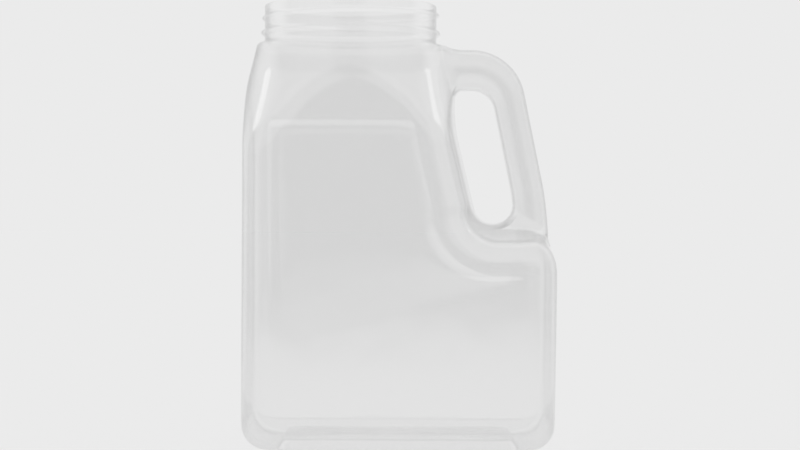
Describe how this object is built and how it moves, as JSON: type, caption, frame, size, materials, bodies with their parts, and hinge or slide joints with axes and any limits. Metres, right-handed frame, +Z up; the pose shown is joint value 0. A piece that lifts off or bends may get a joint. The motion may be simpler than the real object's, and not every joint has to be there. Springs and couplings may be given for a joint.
{
  "type": "oblong jug with handle",
  "caption": "Clear oblong food jug with a wide round screw neck, recessed label panels, a sloped shoulder and a hollow moulded handle beside an open finger gap.",
  "frame": {"origin": "middle of the outline box on the plane that the foot stands on", "axes": "+Z up through the neck, +X towards the handle, the front label panel faces -Y"},
  "size_m": [0.188, 0.11, 0.266],
  "materials": {
    "clear_plastic": "clear glossy blown plastic"
  },
  "bodies": {
    "root": {"jug": "clear_plastic"}
  },
  "joints": []
}
